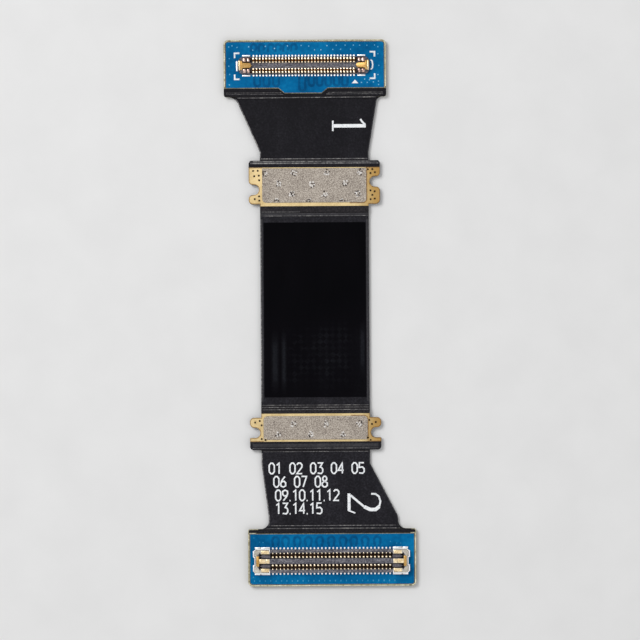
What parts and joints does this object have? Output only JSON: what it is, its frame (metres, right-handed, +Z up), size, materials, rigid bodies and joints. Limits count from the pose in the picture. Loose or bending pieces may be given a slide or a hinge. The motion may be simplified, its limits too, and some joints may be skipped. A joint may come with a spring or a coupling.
{
  "type": "flat flex cable",
  "caption": "Flat black flex cable that joins two boards, with a rigid blue board and a low fine-pitch plug or socket at each end and two gold ground pads between them.",
  "frame": {"origin": "centre of the footprint, on the plane that the cable lies on", "axes": "+Y along the cable towards the board with the plug, +X to the right seen from above, +Z up out of the connector side"},
  "size_m": [0.0176, 0.0506, 0.0011],
  "materials": {
    "ribbon": "satin black coverlay film on polyimide",
    "film": "smooth black shielding film",
    "coverlay": "satin black film",
    "board_laminate": "cut glass-epoxy laminate, pale tan",
    "pad_laminate": "black-brown laminate",
    "solder_mask": "blue solder mask, smooth",
    "gold_plating": "flat immersion gold on copper",
    "ground_patch": "grey conductive film, fine grain, pressed dots",
    "connector_plastic": "grey liquid crystal polymer",
    "contact_gold": "gold plated copper alloy",
    "clip_metal": "pale gold plated sheet, tinned at the edges"
  },
  "bodies": {
    "root": {"flex_ribbon": "ribbon", "window_film": "film", "upper_board_front_ply": "board_laminate", "upper_board_back_ply": "board_laminate", "upper_board_front_mask": "solder_mask", "upper_board_back_mask": "solder_mask", "upper_board_coverlay": "coverlay", "lower_board_front_ply": "board_laminate", "lower_board_back_ply": "board_laminate", "lower_board_front_mask": "solder_mask", "lower_board_back_mask": "solder_mask", "lower_board_coverlay": "coverlay", "upper_pad_body": "pad_laminate", "lower_pad_body": "pad_laminate", "upper_pad_back_strip": "pad_laminate", "lower_pad_back_strip": "pad_laminate", "upper_pad_plating": "gold_plating", "lower_pad_plating": "gold_plating", "upper_pad_coverlay": "coverlay", "lower_pad_coverlay": "coverlay", "upper_ground_patch": "ground_patch", "lower_ground_patch": "ground_patch", "plug_housing": "connector_plastic", "plug_contacts_top_row": "contact_gold", "plug_contacts_bottom_row": "contact_gold", "plug_hold_down_left": "clip_metal", "plug_hold_down_right": "clip_metal", "socket_housing": "connector_plastic", "socket_contacts_top_row": "contact_gold", "socket_contacts_bottom_row": "contact_gold", "socket_frame_left": "clip_metal", "socket_frame_right": "clip_metal"}
  },
  "joints": []
}
